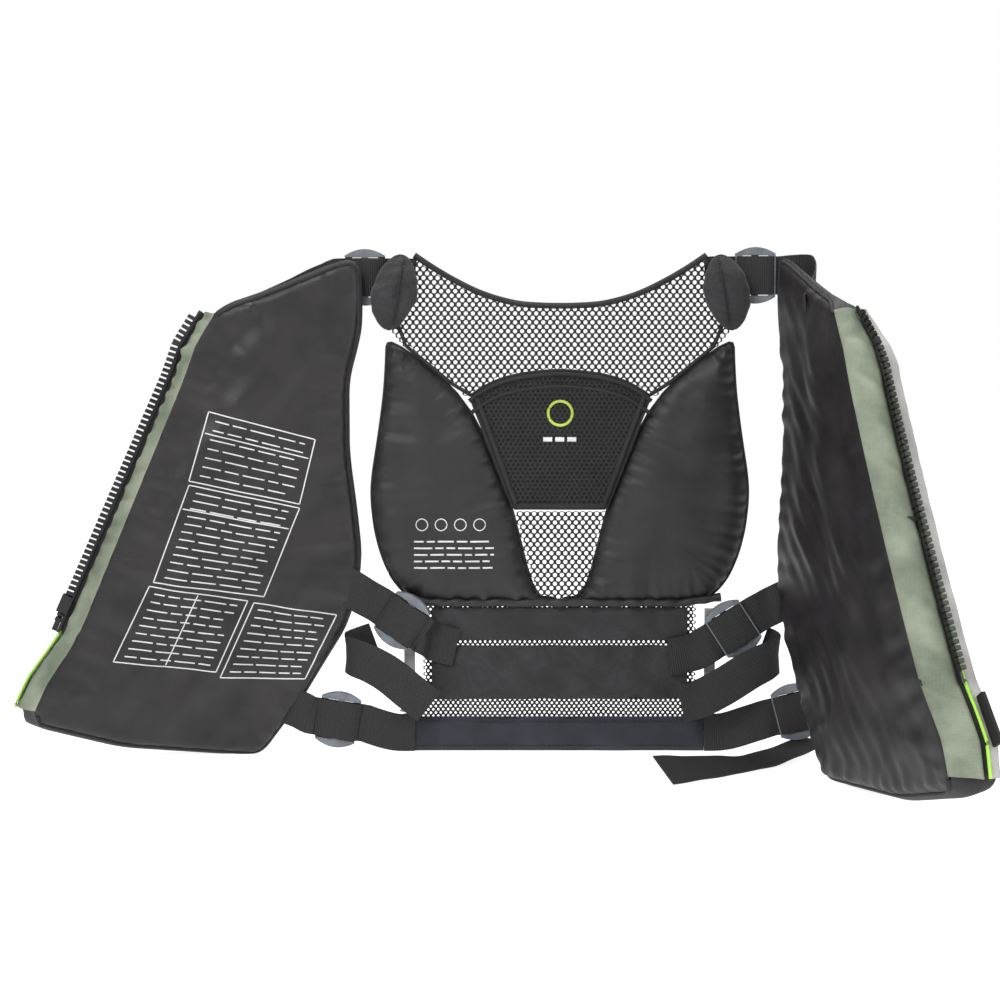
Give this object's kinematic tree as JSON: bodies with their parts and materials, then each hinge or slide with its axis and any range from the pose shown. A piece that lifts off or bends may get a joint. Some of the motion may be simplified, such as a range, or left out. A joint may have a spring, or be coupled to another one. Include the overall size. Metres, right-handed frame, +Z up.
{
  "type": "life jacket",
  "caption": "Paddling life jacket with a mesh back, foam back pads, two zip front panels on webbing straps with slide adjusters, shown standing open.",
  "frame": {"origin": "middle of the bounding box in plan, at floor height", "axes": "+Z up; -Y is the way the wearer faces, so the inside of the back panel faces -Y; +X is the wearer's left"},
  "size_m": [0.8964, 0.3602, 0.5071],
  "materials": {
    "open_mesh": "open knitted mesh, matt black",
    "spacer_mesh": "fine spacer mesh, matt black",
    "pad_cloth": "woven nylon over soft foam, puckered at the seams",
    "panel_cloth": "woven nylon, slight sheen",
    "flotation_foam": "closed-cell foam, hidden",
    "gusset": "olive woven nylon, puckered",
    "zip_tape": "woven tape",
    "zip_plastic": "moulded plastic, satin",
    "piping": "bright lime piping",
    "placket": "light grey coated cloth",
    "webbing": "ribbed polypropylene webbing",
    "binding": "grey folded tape",
    "waist_neoprene": "navy knit over neoprene",
    "adjuster": "light grey moulded plastic"
  },
  "bodies": {
    "back": {"yoke_mesh": "open_mesh", "centre_patch": "spacer_mesh", "lower_panel_mesh": "open_mesh", "back_pad_cover_r": "pad_cloth", "back_pad_cover_l": "pad_cloth", "back_pad_sheet_r": "pad_cloth", "back_pad_sheet_l": "pad_cloth", "back_pad_foam_r": "flotation_foam", "back_pad_foam_l": "flotation_foam", "shoulder_pad_r": "spacer_mesh", "shoulder_pad_l": "spacer_mesh", "lower_back_mesh": "open_mesh", "upper_band": "spacer_mesh", "lumbar_band": "spacer_mesh", "waist_band": "waist_neoprene", "side_binding_r": "binding", "side_binding_l": "binding", "waist_binding_r": "binding", "waist_binding_l": "binding", "upper_strap_back_r": "webbing", "upper_strap_back_l": "webbing", "waist_strap_back_r": "webbing", "waist_strap_back_l": "webbing", "upper_tail_r": "webbing", "upper_tail_l": "webbing", "waist_tail_l": "webbing", "shoulder_strap_back_r": "webbing", "shoulder_strap_back_l": "webbing"},
    "front_right": {"front_lining_r": "panel_cloth", "front_shell_r": "panel_cloth", "front_foam_r": "flotation_foam", "front_gusset_r": "gusset", "zip_tape_r": "zip_tape", "piping_r": "piping", "placket_r": "placket", "zip_teeth_r": "zip_plastic", "upper_strap_front_r": "webbing", "waist_strap_front_r": "webbing", "shoulder_strap_front_r": "webbing"},
    "front_left": {"front_lining_l": "panel_cloth", "front_shell_l": "panel_cloth", "front_foam_l": "flotation_foam", "front_gusset_l": "gusset", "zip_tape_l": "zip_tape", "piping_l": "piping", "placket_l": "placket", "zip_teeth_l": "zip_plastic", "upper_strap_front_l": "webbing", "waist_strap_front_l": "webbing", "shoulder_strap_front_l": "webbing", "lash_loop_l": "webbing"},
    "adjuster_upper_r": {"adjuster_upper_r": "adjuster"},
    "adjuster_upper_l": {"adjuster_upper_l": "adjuster"},
    "adjuster_shoulder_r": {"adjuster_shoulder_r": "adjuster"},
    "adjuster_shoulder_l": {"adjuster_shoulder_l": "adjuster"},
    "adjuster_waist_r": {"adjuster_waist_r": "adjuster"},
    "adjuster_waist_l": {"adjuster_waist_l": "adjuster"},
    "zip_slider": {"zip_slider": "zip_plastic"},
    "zip_pull": {"zip_pull": "zip_plastic"}
  },
  "joints": [
    {"name": "front_right_hinge", "type": "hinge", "parent": "back", "child": "front_right", "pos_m": [-0.10349, 0.14975, 0.25], "axis": [0, 0, 1], "range_deg": [-4, 100]},
    {"name": "front_left_hinge", "type": "hinge", "parent": "back", "child": "front_left", "pos_m": [0.30351, 0.13775, 0.25], "axis": [0, 0, -1], "range_deg": [-56, 36]},
    {"name": "zip_slide", "type": "slide", "parent": "front_right", "child": "zip_slider", "axis": [0.4001, 0.0562, 0.9148], "range_m": [0, 0.22]},
    {"name": "pull_hinge", "type": "hinge", "parent": "zip_slider", "child": "zip_pull", "pos_m": [-0.40467, 0.14681, 0.14751], "axis": [0.9058, 0.1273, -0.404], "range_deg": [0, 150]},
    {"name": "upper_adjuster_slide_r", "type": "slide", "parent": "back", "child": "adjuster_upper_r", "axis": [-0.8283, 0.1312, 0.5446], "range_m": [-0.0015, 0.003]},
    {"name": "upper_adjuster_slide_l", "type": "slide", "parent": "back", "child": "adjuster_upper_l", "axis": [0.8355, -0.0731, 0.5446], "range_m": [-0.001, 0.003]},
    {"name": "waist_adjuster_slide_r", "type": "slide", "parent": "front_right", "child": "adjuster_waist_r", "axis": [-0.9775, -0.12, 0.1736], "range_m": [-0.003, 0.003]},
    {"name": "waist_adjuster_slide_l", "type": "slide", "parent": "front_left", "child": "adjuster_waist_l", "axis": [0.9623, -0.0842, 0.2588], "range_m": [0, 0.0015]},
    {"name": "shoulder_adjuster_slide_r", "type": "slide", "parent": "back", "child": "adjuster_shoulder_r", "axis": [-1, 0, 0], "range_m": [-0.003, 0.003]},
    {"name": "shoulder_adjuster_slide_l", "type": "slide", "parent": "back", "child": "adjuster_shoulder_l", "axis": [1, 0, 0], "range_m": [-0.003, 0.003]}
  ]
}
